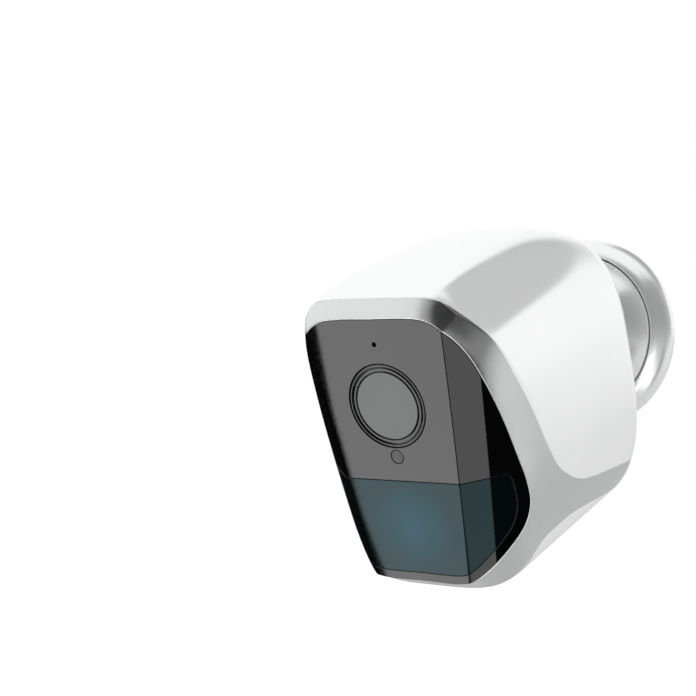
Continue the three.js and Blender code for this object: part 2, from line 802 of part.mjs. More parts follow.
addBody('steel_cup', 'steel', steelCup());
addBody('grip_ring', 'rubber', gripRing());
REAR_SCREWS.forEach(([x, z], i) => {
  addBody(`rear_screw_${i + 1}`, 'steel', rearScrew(x, z));
});

addMount('wall_pad', 'rubber', wallPad());
addMount('wall_dish', 'white', wallDish());
addMount('mount_dome', 'white', mountDome());
addMount('magnet', 'steel', disc(10.5, -23.4, -18.4, 0, 0, 32));
addMount('magnet_holder', 'blackSatin', magnetHolder());
addMount('swivel_screw', 'steel', swivelScrew());
addMount('swivel_washer', 'rubber', swivelWasher());

export default group;
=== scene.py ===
"""Looks of a battery security camera on a round magnetic wall mount, built around its CAD frame."""

import json
import math

import bpy
import numpy as np
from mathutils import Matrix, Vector
from mathutils.geometry import delaunay_2d_cdt


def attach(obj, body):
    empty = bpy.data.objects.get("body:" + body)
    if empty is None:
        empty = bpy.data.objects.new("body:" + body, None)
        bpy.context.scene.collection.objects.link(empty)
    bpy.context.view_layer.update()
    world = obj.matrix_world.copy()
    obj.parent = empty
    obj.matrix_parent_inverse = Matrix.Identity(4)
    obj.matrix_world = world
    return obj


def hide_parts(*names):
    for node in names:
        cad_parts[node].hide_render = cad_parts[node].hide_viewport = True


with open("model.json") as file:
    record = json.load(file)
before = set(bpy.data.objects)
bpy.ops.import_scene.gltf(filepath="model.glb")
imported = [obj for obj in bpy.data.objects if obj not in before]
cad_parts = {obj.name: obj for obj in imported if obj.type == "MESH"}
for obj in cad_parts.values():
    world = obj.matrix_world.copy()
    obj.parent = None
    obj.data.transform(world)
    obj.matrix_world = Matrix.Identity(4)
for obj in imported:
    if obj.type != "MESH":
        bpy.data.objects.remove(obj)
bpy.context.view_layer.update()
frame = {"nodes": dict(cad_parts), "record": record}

# The camera body is described in its own straight frame, in millimetres: the origin is the
# centre of the lens, +X right seen from the front, +Y back along the body, +Z up. to_row()
# pitches it nose-down onto the ball and gives metres in the row frame. The mount's pieces are
# described in the wall frame, in millimetres.

MM = 0.001
PITCH = math.radians(20)
LENS_BACK_FROM_WALL = 129.5
LENS_BELOW_MOUNT = 22.6

HALF_WIDTH = 35
UPPER_HEIGHT = 48.2
LOWER_HEIGHT = 55.4
END_Y = 117.6
BACK_Y = 105
SIDE_ROUNDING = (86, 1.5)
TOP_ROUNDING = (46, 2.26)
BELLY_ROUNDING = (86, 3.2)
ARC = 40  # millimetres of skin width per radian in the skin's flat plan
TURN_Y = 102.8
TURN_LENGTH = 3.4
FLAT_START = TURN_Y + TURN_LENGTH

# The body's axis sinks towards the rear. The crown is the flat top, the facets cut its two
# shoulders, the chin is the underside's front end, and the band is the frame's turn to the visor.
AXIS_Y = 50
AXIS_Z = -12.7
AXIS_SLOPE = 0.0322
CHIN_LENGTH = 28
CHIN_RISE = 0.18
CROWN_START = 4
CROWN_LENGTH = 32
CROWN_FRONT = 31.9
CROWN_RISE = 3.9
FACET_SIDE = 0.799
FACET_UP = 0.601
FACET_OUT = 36.55
FACET_LIFT = 0.7
FRAME_DEPTH = 5
FRAME_BLEND = 10
BAND_TOP = 3.9
BAND_BOTTOM = 6
BAND_POWER = 0.85

LENS_RADIUS = 13
GLASS_RADIUS = 10.4
STATUS_Z = -15.9
STATUS_RADIUS = 2.1
MICROPHONE_Z = 18.9
SPEAKER_Y = 37
PIR_TOP = -23.6
PIR_BOTTOM = -53.4
PIR_RIM = 2.8

BALL_Y = 130.8
BALL_Z = -23.5
BALL_RADIUS = 30
BALL_IN_DOME_Y = 1.4
CUP_OPENING = 16.45


# -------------------------------- curves


def catmull_rom(points, steps):
    """A smooth curve through the points, with steps pieces between each two."""
    p = np.asarray(points, float)
    p = np.vstack([2 * p[0] - p[1], p, 2 * p[-1] - p[-2]])
    out = []
    for a, b, c, d in zip(p[:-3], p[1:-2], p[2:-1], p[3:]):
        da, db, dc = (max(1e-6, np.linalg.norm(q - r)) ** 0.5 for q, r in ((b, a), (c, b), (d, c)))
        start = ((b - a) / da - (c - a) / (da + db) + (c - b) / db) * db
        end = ((c - b) / db - (d - b) / (db + dc) + (d - c) / dc) * db
        square, cube = 3 * (c - b) - 2 * start - end, 2 * (b - c) + start + end
        for s in np.arange(steps) / steps:
            out.append(b + start * s + square * s**2 + cube * s**3)
    out.append(p[-2])
    return np.array(out)


def resample(points, spacing):
    """Points at even steps along a line, keeping its ends."""
    points = np.asarray(points, float)
    along = np.r_[0, np.cumsum(np.linalg.norm(np.diff(points, axis=0), axis=1))]
    count = max(2, int(round(along[-1] / spacing)) + 1)
    places = np.linspace(0, along[-1], count)
    return np.stack([np.interp(places, along, points[:, k]) for k in range(points.shape[1])], 1)


def resample_loop(loop, spacing):
    """Points at even steps round a closed line."""
    return resample(np.vstack([loop, loop[:1]]), spacing)[:-1]


def cut_corners(points, rounds, closed=False):
    """Rounds the corners of an outline by cutting each one off again and again."""
    p = np.asarray(points, float)
    for _ in range(rounds):
        a, b = (p, np.roll(p, -1, 0)) if closed else (p[:-1], p[1:])
        q = np.stack([0.75 * a + 0.25 * b, 0.25 * a + 0.75 * b], 1).reshape(-1, p.shape[1])
        p = q if closed else np.vstack([p[:1], q, p[-1:]])
    return p


def unit(v):
    return v / np.maximum(1e-12, np.linalg.norm(v, axis=1))[:, None]


def circle(radius, u=0.0, v=0.0, count=96):
    angle = np.linspace(0, 2 * math.pi, count, endpoint=False)
    return np.stack([u + radius * np.cos(angle), v + radius * np.sin(angle)], 1)


def rounded_rectangle(u0, u1, v0, v1, corner, steps=8):
    points = []
    corners = ((u1, v1, -1, -1), (u0, v1, 1, -1), (u0, v0, 1, 1), (u1, v0, -1, 1))
    for quarter, (u, v, du, dv) in enumerate(corners):
        for i in range(steps + 1):
            angle = (quarter + i / steps) * math.pi / 2
            points.append((u + corner * (du + math.cos(angle)), v + corner * (dv + math.sin(angle))))
    return np.array(points)


# -------------------------------- the body's skin


def visor_crease(z):
    """How far the crease between the visor's flat middle and a wing is from the centre line."""
    return 21.95 + 0.0818 * z - 0.00028 * z**2


def visor_y(x, z):
    """How far back the visor's surface lies: a flat middle with wings that bend back."""
    beyond = np.maximum(0, np.abs(x) - visor_crease(z))
    return 0.74 * beyond + 0.014 * beyond**2


def with_depth(outline):
    """Puts the points of a front-view outline on the visor's surface."""
    x, z = outline.T
    return np.stack([x, visor_y(x, z), z], 1)


VISOR_EDGE = with_depth(catmull_rom(
    [
        (0, 26.5), (11.5, 26.5), (17.8, 25.8), (22.5, 23.4), (25.3, 20.1), (28, 14), (30.2, 5),
        (32.1, -7), (33.2, -19), (33.8, -28), (33.4, -35), (31.2, -41.5), (26.8, -47.4),
        (21.8, -52.4), (18, -55), (13, -56.1), (0, -56.1),
    ],
    30,
))
PARTING = catmull_rom(
    [
        (3.4, 40), (3.6, 32), (5.6, 27.8), (10.4, 18), (14.8, 7.2), (20.7, -6.4), (27, -22.6),
        (31.5, -30.6), (38.2, -36.6), (46.5, -41.7), (56, -44.9), (76.5, -50.1), (112, -58.7),
    ],
    30,
)


def rounding(y, start, power):
    """How much of its full size the body keeps at y, from 1 at start to about 0 at END_Y."""
    along = np.clip((y - start) / (END_Y - start), 0, 0.9999)
    return (1 - along**power) ** (1 / power)


def axis_z(y):
    """Height of the body's axis: it sinks a little towards the rear."""
    return AXIS_Z - AXIS_SLOPE * (y - AXIS_Y)


def soft_min(a, b, sharpness):
    """The lower of two values, rounded off where they cross."""
    low = np.minimum(a, b)
    return low * ((a / low) ** -sharpness + (b / low) ** -sharpness) ** (-1 / sharpness)


def body_radius(angle, y):
    """How far the skin is from the body's axis, behind the band that rolls over to the visor."""
    c = np.abs(np.cos(angle))
    s = np.sin(angle)
    width = HALF_WIDTH * rounding(y, *SIDE_ROUNDING)
    chin = np.clip((CHIN_LENGTH - y) / CHIN_LENGTH, 0, 1) ** 2
    upper = UPPER_HEIGHT * rounding(y, *TOP_ROUNDING)
    lower = LOWER_HEIGHT * rounding(y, *BELLY_ROUNDING) * (1 - CHIN_RISE * chin)
    power = np.where(s > 0, 3.1, 2.75 + 1.6 * chin)
    height = np.where(s > 0, upper, lower)
    radius = ((c / width) ** power + (np.abs(s) / height) ** power) ** (-1 / power)
    up = np.maximum(s, 0.05)
    along_crown = np.clip((y - CROWN_START) / CROWN_LENGTH, 0, 1)
    top_flat = CROWN_FRONT + CROWN_RISE * (1 - (1 - along_crown) ** 2)
    flattened = soft_min(radius, (top_flat - axis_z(y)) / up, 30)
    near_frame = 1 - np.clip((y - FRAME_DEPTH) / FRAME_BLEND, 0, 1)
    facet_out = FACET_OUT + FACET_LIFT * near_frame**2 * (3 - 2 * near_frame)
    facet = (facet_out - FACET_UP * axis_z(y)) / (FACET_SIDE * c + FACET_UP * up)
    crisp = 24 + 136 * (1 - near_frame) ** 2
    return np.where(s > 0.05, soft_min(flattened, facet, crisp), radius)


EDGE_ANGLE = np.arctan2(VISOR_EDGE[:, 2] - axis_z(VISOR_EDGE[:, 1]), VISOR_EDGE[:, 0])
EDGE_RADIUS = np.hypot(VISOR_EDGE[:, 0], VISOR_EDGE[:, 2] - axis_z(VISOR_EDGE[:, 1]))


def at_edge(angle):
    """Radius and station of the visor's edge at an angle round the body's axis."""
    folded = np.arctan2(np.sin(angle), np.abs(np.cos(angle)))
    radius = np.interp(-folded, -EDGE_ANGLE, EDGE_RADIUS)
    return radius, np.interp(-folded, -EDGE_ANGLE, VISOR_EDGE[:, 1])


def band_depth(angle):
    """How far behind the visor's edge the band that rolls over to it ends."""
    c = np.cos(angle)
    return np.where(np.sin(angle) > 0, BAND_TOP + 9 * c**4, BAND_BOTTOM + 7 * c**2)


def skin_radius(angle, y):
    """How far the skin is from the body's axis, with the band."""
    edge_radius, edge_y = at_edge(angle)
    along = np.clip((y - edge_y) / band_depth(angle), 0, 1) ** BAND_POWER
    return edge_radius + (body_radius(angle, y) - edge_radius) * along


class Skin:
    """The body's outside as a flat plan: u runs round it, v back along it and onto the rear."""

    def point(self, uv):
        angle = uv[:, 0] / ARC
        v = uv[:, 1]
        roll = np.clip((v - TURN_Y) / TURN_LENGTH, 0, 1)
        side = skin_radius(angle, np.minimum(v, TURN_Y))
        corner = skin_radius(angle, np.full_like(v, BACK_Y))
        start, middle, end = (1 - roll) ** 2, 2 * roll * (1 - roll), roll**2
        inner = corner - (BACK_Y - TURN_Y) - np.maximum(0, v - FLAT_START)
        radius = start * side + middle * corner + end * inner
        y = start * np.minimum(v, TURN_Y) + (middle + end) * BACK_Y
        return np.stack([radius * np.cos(angle), y, axis_z(y) + radius * np.sin(angle)], 1)

    def plan(self, points):
        x, y, z = points.T
        angle = np.arctan2(z - axis_z(y), x)
        angle = np.where(angle < -math.pi * 0.75, angle + 2 * math.pi, angle)
        radius = np.hypot(x, z - axis_z(y))
        inner = skin_radius(angle, np.full_like(y, BACK_Y)) - (BACK_Y - TURN_Y)
        behind = FLAT_START + inner - radius
        v = np.where(y < TURN_Y, y, np.clip(behind, TURN_Y, None))
        return np.stack([angle * ARC, v], 1)

    def normal(self, uv):
        step = 0.05
        edge_y = at_edge(uv[:, 0] / ARC)[1]
        back = np.stack([uv[:, 0], np.maximum(uv[:, 1] - step, np.minimum(edge_y, uv[:, 1]))], 1)
        along = self.point(uv + (0, step)) - self.point(back)
        around = self.point(uv + (step, 0)) - self.point(uv - (step, 0))
        n = unit(np.cross(along, around))
        centre = np.array([0, 55, axis_z(55)])
        outward = np.sum(n * (self.point(uv) - centre), 1)
        return n * np.where(outward < 0, -1, 1)[:, None]


class Front:
    """The visor's surface over the front view: u is x and v is z."""

    def point(self, uv):
        return np.stack([uv[:, 0], visor_y(uv[:, 0], uv[:, 1]), uv[:, 1]], 1)

    def plan(self, points):
        return points[:, [0, 2]]

    def normal(self, uv):
        step = 0.45
        across = self.point(uv + (step, 0)) - self.point(uv - (step, 0))
        up = self.point(uv + (0, step)) - self.point(uv - (0, step))
        return unit(np.cross(across, up))


class Rear:
    """The flat rear face: u is x and v is z."""

    def __init__(self, y):
        self.y = y

    def point(self, uv):
        return np.stack([uv[:, 0], np.full(len(uv), self.y), uv[:, 1]], 1)

    def plan(self, points):
        return points[:, [0, 2]]

    def normal(self, uv):
        return np.tile([0.0, 1.0, 0.0], (len(uv), 1))


# -------------------------------- mesh building

PLATE_DEPTH = 2.0
ROLL_STEPS = 4
SHARP_ANGLE = 40
UNDERSIDE_COARSER = 3

# Shares of a plate's own spacing.
ROW_HEIGHT = 0.87
RIM_CLEARANCE = 0.55
FOLD_CLEARANCE = 0.5

# The rows of points along a fold, in millimetres. FOLD_STEPS counts pitches across the fold.
FOLD_SPACING = 0.6
FOLD_REACH = 0.9
FOLD_PITCH = 0.22
FOLD_TO_RIM = 0.15
FOLD_STEPS = (-8, -4, -2, -1, 0, 1, 2, 4, 8)


def to_row(points):
    p = np.asarray(points, float)
    c, s = math.cos(PITCH), math.sin(PITCH)
    y = p[:, 1] * c - p[:, 2] * s - LENS_BACK_FROM_WALL
    z = p[:, 1] * s + p[:, 2] * c - LENS_BELOW_MOUNT
    return np.stack([p[:, 0], y, z], 1) * MM


def turn_to_row(directions):
    d = np.asarray(directions, float)
    c, s = math.cos(PITCH), math.sin(PITCH)
    return np.stack([d[:, 0], d[:, 1] * c - d[:, 2] * s, d[:, 1] * s + d[:, 2] * c], 1)


def add_object(name, vertices, faces, material, body, nodes):
    mesh = bpy.data.meshes.new(name)
    mesh.from_pydata([tuple(v) for v in vertices], [], faces)
    mesh.materials.append(material)
    mesh.polygons.foreach_set("use_smooth", [True] * len(mesh.polygons))
    mesh.update()
    obj = bpy.data.objects.new(name, mesh)
    bpy.context.scene.collection.objects.link(obj)
    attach(obj, body)
    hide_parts(*nodes)
    return obj


def inside(points, loops):
    """Even-odd test of points against closed loops."""
    odd = np.zeros(len(points), bool)
    for loop in loops:
        a, b = loop, np.roll(loop, -1, 0)
        for (ax, ay), (bx, by) in zip(a, b):
            if ay == by:
                continue
            crosses = (ay > points[:, 1]) != (by > points[:, 1])
            x = ax + (points[:, 1] - ay) * (bx - ax) / (by - ay)
            odd ^= crosses & (points[:, 0] < x)
    return odd


def fold_rows(folds):
    """Close rows of points on both sides of each fold line, so that a crease stays straight."""
    rows = []
    for fold in folds:
        line = resample(fold, FOLD_SPACING)
        along = unit(np.vstack([line[1] - line[0], line[2:] - line[:-2], line[-1] - line[-2]]))
        across = np.stack([along[:, 1], -along[:, 0]], 1)
        rows += [line + step * FOLD_PITCH * across for step in FOLD_STEPS]
    return rows


def fill(loops, spacing, folds=()):
    """Triangles inside closed loops. Returns the points, triangles and each loop's point numbers."""
    low = np.min([loop.min(0) for loop in loops], 0)
    high = np.max([loop.max(0) for loop in loops], 0)
    rows = np.arange(low[1] + spacing / 2, high[1], spacing * ROW_HEIGHT)
    grid = []
    for k, v in enumerate(rows):
        shift = spacing / 2 * (k % 2)
        grid.extend((u, v) for u in np.arange(low[0] + shift, high[0], spacing))
    grid = np.array(grid)
    rim = np.vstack(loops)
    keep = inside(grid, loops)
    for start in range(0, len(rim), 200):
        gap = grid[:, None, :] - rim[None, start:start + 200, :]
        keep &= (gap**2).sum(2).min(1) > (RIM_CLEARANCE * spacing) ** 2
    grid = grid[keep]
    edges = []
    creases = fold_rows(folds)
    for row in creases:
        gap = grid[:, None, :] - row[None, :, :]
        grid = grid[(gap**2).sum(2).min(1) > (FOLD_CLEARANCE * spacing) ** 2]
    points = len(rim) + len(grid)
    for row in creases:
        clear = ((row[:, None, :] - rim[None, :, :]) ** 2).sum(2).min(1) > FOLD_TO_RIM**2
        row = row[inside(row, loops) & clear]
        edges.extend((points + k, points + k + 1) for k in range(len(row) - 1)
                     if np.linalg.norm(row[k + 1] - row[k]) < FOLD_REACH)
        points += len(row)
        grid = np.vstack([grid, row])
    points = [Vector(p) for p in np.vstack([rim, grid])]
    numbers = []
    first = 0
    for loop in loops:
        count = len(loop)
        edges.extend((first + k, first + (k + 1) % count) for k in range(count))
        numbers.append(list(range(first, first + count)))
        first += count
    out, _, faces, sources, _, _ = delaunay_2d_cdt(points, edges, [], 0, 1e-7)
    plan = np.array([tuple(p) for p in out])
    faces = np.array(faces)
    faces = faces[inside(plan[faces].mean(1), loops)]
    place = {old: new for new, olds in enumerate(sources) for old in olds}
    return plan, faces, [[place[n] for n in loop] for loop in numbers]


class Chain:
    """One stretch of a plate's outline, with the frame that its rolled edge needs.

    A stretch that isn't closed belongs to a mirrored plate, and may end on the plane x = 0.
    """

    def __init__(self, surface, plan, loops, closed):
        self.closed = closed
        p = surface.point(plan)
        n = surface.normal(plan)
        if closed:
            tangent = np.roll(p, -1, 0) - np.roll(p, 1, 0)
        else:
            tangent = np.vstack([p[1] - p[0], p[2:] - p[:-2], p[-1] - p[-2]])
            for k in (0, -1):
                if abs(p[k, 0]) < 1e-3:
                    tangent[k] = (np.sign(tangent[k, 0]) or 1, 0, 0)
                    p[k, 0] = 0
        out = unit(np.cross(unit(tangent), n))
        test = surface.plan(p + 0.4 * out)
        if inside(test, loops).mean() > 0.5:
            out = -out
        self.points, self.normals, self.out = p, n, out

    def inset(self, surface, distance):
        p = self.points - distance * self.out
        on_plane = np.abs(self.points[:, 0]) < 1e-6
        p[on_plane & (not self.closed), 0] = 0
        return surface.plan(p)


def plate(surface, chains, holes=(), spacing=1.5, gap=0.08, roll=0.3, mirrored=False, folds=()):
    """A closed curved plate with rolled edges: vertices, normals and faces in its own frame.

    chains make up the outline in the surface's plan. A mirrored plate's chains end on the plane
    x = 0 and are joined along it. holes are closed outlines, and folds are lines that stay crisp.
    roll is the size of the rolled edge, or one size for each chain.
    """
    outline = np.vstack(chains)
    loops = [outline, *holes]
    rims = [Chain(surface, c, loops, not mirrored) for c in chains]
    rims += [Chain(surface, h, loops, True) for h in holes]
    rolls = roll if isinstance(roll, tuple) else (roll,) * len(rims)
    insets = [rim.inset(surface, gap + size) for rim, size in zip(rims, rolls)]
    outer = []
    owners = []
    for k in range(len(chains)):
        outer.append(insets[k])
        owners += [(k, i) for i in range(len(insets[k]))]
        if mirrored:
            here, there = insets[k][-1], insets[(k + 1) % len(chains)][0]
            count = max(1, int(np.linalg.norm(there - here) / spacing))
            steps = np.linspace(0, 1, count + 1)[1:-1, None]
            outer.append(here + (there - here) * steps)
            owners += [None] * len(steps)
    edge_loops = [np.vstack(outer)] + insets[len(chains):]
    vertices, normals, faces = [], [], []
    sides = []
    for layer, (grid, drop) in enumerate(((spacing, 0), (spacing * UNDERSIDE_COARSER, PLATE_DEPTH))):
        plan, triangles, numbers = fill(edge_loops, grid, () if layer else folds)
        p, n = surface.point(plan), surface.normal(plan)
        if mirrored:
            for i, owner in enumerate(owners):
                if owner is None or owner[1] in (0, len(insets[owner[0]]) - 1):
                    p[numbers[0][i], 0] = 0
        first = sum(len(v) for v in vertices)
        vertices.append(p - drop * n)
        normals.append(n if layer == 0 else -n)
        a, b, c = (p[triangles[:, k]] for k in range(3))
        facing = np.sum(np.cross(b - a, c - a) * n[triangles[:, 0]], 1) > 0
        wanted = facing if layer == 0 else ~facing
        faces.append(np.where(wanted[:, None], triangles, triangles[:, ::-1]) + first)
        ids = [[] for _ in rims]
        for i, owner in enumerate(owners):
            if owner:
                ids[owner[0]].append(numbers[0][i] + first)
        for h in range(len(holes)):
            ids[len(chains) + h] = [v + first for v in numbers[1 + h]]
        sides.append(ids)
    for k, rim in enumerate(rims):
        top, bottom = np.array(sides[0][k]), np.array(sides[1][k])
        base = np.vstack(vertices)[top]
        n = np.vstack(normals)[top]
        rows = [top]
        for s in range(1, ROLL_STEPS + 2):
            angle = min(s, ROLL_STEPS) / ROLL_STEPS * math.pi / 2
            sink = rolls[k] * (1 - math.cos(angle)) if s <= ROLL_STEPS else PLATE_DEPTH
            first = sum(len(v) for v in vertices)
            vertices.append(base + rolls[k] * math.sin(angle) * rim.out - sink * n)
            normals.append(unit(n * math.cos(angle) + rim.out * math.sin(angle)))
            rows.append(np.arange(first, first + len(top)))
        rows.append(bottom)
        faces.append(strip(rows, rim, np.vstack(vertices), np.vstack(normals)))
    return np.vstack(vertices), np.vstack(normals), faces


def strip(rows, rim, vertices, normals):
    """Quads between rows of point numbers, turned to face the way the edge does."""
    out = []
    count = len(rows[0])
    last = count if rim.closed else count - 1
    for low, high in zip(rows[:-1], rows[1:]):
        for k in range(last):
            j = (k + 1) % count
            out.append((low[k], low[j], high[j], high[k]))
    a, b, c = (vertices[out[last][k]] for k in range(3))
    facing = np.dot(np.cross(b - a, c - a), normals[out[last][0]])
    return [q if facing > 0 else q[::-1] for q in out]


def mirror(vertices, normals, faces):
    """Adds the other half of a half plate, sharing the points on the plane x = 0."""
    moved = np.abs(vertices[:, 0]) > 1e-6
    number = np.arange(len(vertices))
    number[moved] = len(vertices) + np.arange(moved.sum())
    flip = np.array([-1, 1, 1])
    both = np.vstack([vertices, vertices[moved] * flip])
    shade = normals.copy()
    shade[~moved, 0] = 0
    shade = np.vstack([unit(shade), normals[moved] * flip])
    other = [tuple(int(number[i]) for i in reversed(face)) for face in faces]
    return both, shade, faces + other


def add_plate(name, look, body, slot, nodes, surface, chains, mirrored=False, **shape):
    vertices, normals, groups = plate(surface, chains, mirrored=mirrored, **shape)
    faces = [tuple(int(i) for i in face) for group in groups for face in group]
    if mirrored:
        vertices, normals, faces = mirror(vertices, normals, faces)
    obj = add_object(name, to_row(vertices), faces, look, body, nodes)
    obj.data.normals_split_custom_set_from_vertices([tuple(n) for n in turn_to_row(normals)])


def fillet(profile, radius, steps=4):
    """Rounds the corners of a profile of (radius, station, fillet size) points."""
    points = [np.array(p[:2], float) for p in profile]
    sizes = [p[2] if len(p) > 2 else radius for p in profile]
    out = [points[0]]
    for k in range(1, len(points) - 1):
        before, here, after = points[k - 1], points[k], points[k + 1]
        reach = min(sizes[k], 0.45 * np.linalg.norm(before - here), 0.45 * np.linalg.norm(after - here))
        if reach < 1e-3:
            out.append(here)
            continue
        a = here + (before - here) / np.linalg.norm(before - here) * reach
        b = here + (after - here) / np.linalg.norm(after - here) * reach
        for s in np.linspace(0, 1, steps + 1):
            out.append(a * (1 - s) ** 2 + here * 2 * s * (1 - s) + b * s**2)
    out.append(points[-1])
    return out


def lathe(profile, x=0.0, z=0.0, sides=96, upright=False, closed=False):
    """Turns a profile of (radius, station) about a line along Y, or along Z when upright."""
    vertices, faces, rings = [], [], []
    for radius, station in profile:
        if radius < 1e-6:
            rings.append([len(vertices)] * sides)
            vertices.append((0, station, 0))
            continue
        rings.append(list(range(len(vertices), len(vertices) + sides)))
        for k in range(sides):
            angle = 2 * math.pi * k / sides
            vertices.append((radius * math.cos(angle), station, radius * math.sin(angle)))
    pairs = list(zip(rings[:-1], rings[1:]))
    if closed:
        pairs.append((rings[-1], rings[0]))
    for low, high in pairs:
        for k in range(sides):
            j = (k + 1) % sides
            face = [low[k], low[j], high[j], high[k]]
            face = [v for i, v in enumerate(face) if v not in face[:i]]
            if len(face) > 2:
                faces.append(tuple(face))
    v = np.array(vertices, float)
    if upright:
        v = v[:, [0, 2, 1]]
        faces = [face[::-1] for face in faces]
        v = v + (x, z, 0)
    else:
        v = v + (x, 0, z)
    return v, outward(v, faces)


def outward(vertices, faces):
    """Turns all the faces round if the solid's volume comes out negative."""
    total = 0.0
    for face in faces:
        a = vertices[face[0]]
        for i in range(1, len(face) - 1):
            total += np.dot(a, np.cross(vertices[face[i]], vertices[face[i + 1]]))
    return faces if total > 0 else [face[::-1] for face in faces]


def add_turned(name, look, body, nodes, shape, in_body=True):
    vertices, faces = shape
    placed = to_row(vertices) if in_body else vertices * MM
    obj = add_object(name, placed, faces, look, body, nodes)
    obj.data.set_sharp_from_angle(angle=math.radians(SHARP_ANGLE))


# -------------------------------- materials


class Look:
    """A Principled material whose grain, gloss and bump come from procedural noise."""

    def __init__(self, name, colour, roughness, metallic=0.0, specular=0.5):
        self.material = bpy.data.materials.new(name)
        self.material.use_nodes = True
        self.tree = self.material.node_tree
        self.shader = self.tree.nodes["Principled BSDF"]
        self.place = self.add("ShaderNodeTexCoord").outputs["Object"]
        self.colour = colour
        self.set("Base Color", (*colour, 1))
        self.set("Roughness", roughness)
        self.set("Metallic", metallic)
        self.set("Specular IOR Level", specular)
        self.roughness = roughness
        self.height = None

    def add(self, kind, **values):
        node = self.tree.nodes.new(kind)
        for key, value in values.items():
            setattr(node, key, value)
        return node

    def link(self, a, b):
        self.tree.links.new(a, b)

    def set(self, socket, value):
        self.shader.inputs[socket].default_value = value
        return self

    def noise(self, scale, detail=3.0, stretch=(1, 1, 1)):
        mapping = self.add("ShaderNodeMapping")
        mapping.inputs["Scale"].default_value = stretch
        self.link(self.place, mapping.inputs["Vector"])
        node = self.add("ShaderNodeTexNoise")
        node.inputs["Scale"].default_value = scale
        node.inputs["Detail"].default_value = detail
        self.link(mapping.outputs["Vector"], node.inputs["Vector"])
        return node.outputs["Fac"]

    def ramp(self, value, low, high, start=0.3, end=0.7):
        """low where value is at start, high where it is at end, and smooth between."""
        node = self.add("ShaderNodeMapRange")
        node.interpolation_type = "SMOOTHSTEP"
        for socket, number in zip(("From Min", "From Max", "To Min", "To Max"), (start, end, low, high)):
            node.inputs[socket].default_value = number
        self.link(value, node.inputs["Value"])
        return node.outputs["Result"]

    def tint(self, value, other):
        """Base colour goes to another colour where value is high."""
        mix = self.add("ShaderNodeMix", data_type="RGBA")
        self.link(value, mix.inputs["Factor"])
        source = self.shader.inputs["Base Color"]
        if source.is_linked:
            self.link(source.links[0].from_socket, mix.inputs[6])
        else:
            mix.inputs[6].default_value = (*self.colour, 1)
        mix.inputs[7].default_value = (*other, 1)
        self.link(mix.outputs[2], source)
        return self

    def vary_gloss(self, scale, amount, detail=3.0, stretch=(1, 1, 1)):
        """Moves the roughness up and down by an amount, in patches."""
        value = self.noise(scale, detail, stretch)
        low, high = self.roughness - amount, self.roughness + amount
        self.link(self.ramp(value, low, high), self.shader.inputs["Roughness"])
        return self

    def bump(self, scale, depth, detail=3.0, stretch=(1, 1, 1)):
        """Adds a bump of some depth in millimetres, on top of any bump there already."""
        node = self.add("ShaderNodeBump")
        node.inputs["Distance"].default_value = depth * MM
        self.link(self.noise(scale, detail, stretch), node.inputs["Height"])
        if self.height:
            self.link(self.height, node.inputs["Normal"])
        self.height = node.outputs["Normal"]
        self.link(self.height, self.shader.inputs["Normal"])
        return self


def grained(name, colour, other, roughness, grain, gloss=None, bump=None, metallic=0.0, specular=0.5):
    """A look that noise varies. grain, gloss and bump go to noise(), vary_gloss() and bump()."""
    look = Look(name, colour, roughness, metallic, specular)
    look.tint(look.ramp(look.noise(*grain), 0.0, 1.0), other)
    if gloss:
        look.vary_gloss(*gloss)
    if bump:
        look.bump(*bump)
    return look


def soft_rubber(name, colour, other):
    return grained(name, colour, other, 0.62, (120, 5), (800, 0.08, 5.0), (1900, 0.015, 4.0), specular=0.35)


def black_gloss():
    look = Look("deep_gloss_black", (0.0012, 0.0013, 0.0014), 0.022)
    look.tint(look.ramp(look.noise(60, 4), 0.0, 0.5), (0.0018, 0.0018, 0.002))
    look.vary_gloss(900, 0.006)
    return look.bump(140, 0.0005, 1.0)


def teal_window():
    """Dark teal gloss with a painted highlight: the colour turns brighter teal towards the window's centre.
    """
    look = Look("infrared_window", (0.0012, 0.003, 0.0035), 0.025)
    look.set("Specular Tint", (0.32, 0.55, 0.61, 1))
    # Painted highlight: the base colour brightens towards the window's centre, standing in for reflected
    # light.
    away = look.add("ShaderNodeVectorMath", operation="DISTANCE")
    centre = to_row([(0.5, 0, -38)])[0]
    away.inputs[1].default_value = tuple(centre)
    look.link(look.place, away.inputs[0])
    painted_highlight = look.ramp(away.outputs["Value"], 1.0, 0.0, 0.0, 0.017)
    look.tint(painted_highlight, (0.0, 0.034, 0.056))
    look.vary_gloss(700, 0.006)
    return look.bump(140, 0.0005, 1.0)


def lens_glass():
    look = grained("coated_lens_glass", (0.017, 0.023, 0.020), (0.010, 0.018, 0.015), 0.05,
                   (50, 2), (500, 0.012))
    look.set("Coat Weight", 0.3)
    return look.set("Coat Roughness", 0.03)


def silver_paint():
    look = Look("satin_silver_paint", (0.715, 0.72, 0.724), 0.24, metallic=0.97)
    flakes = look.ramp(look.noise(5200, 2.0), 0.0, 1.0, 0.42, 0.62)
    look.tint(flakes, (0.735, 0.74, 0.744))
    look.vary_gloss(500, 0.008, 2.0)
    return look.bump(260, 0.0004, 2.0)


def circuit_board():
    look = Look("green_solder_mask", (0.006, 0.085, 0.040), 0.28)
    tracks = look.add("ShaderNodeTexBrick")
    tracks.inputs["Scale"].default_value = 260
    tracks.inputs["Mortar Size"].default_value = 0.05
    look.link(look.place, tracks.inputs["Vector"])
    look.tint(look.ramp(tracks.outputs["Fac"], 0.0, 1.0, 0.2, 0.8), (0.02, 0.16, 0.075))
    return look.bump(2500, 0.01, 3.0)


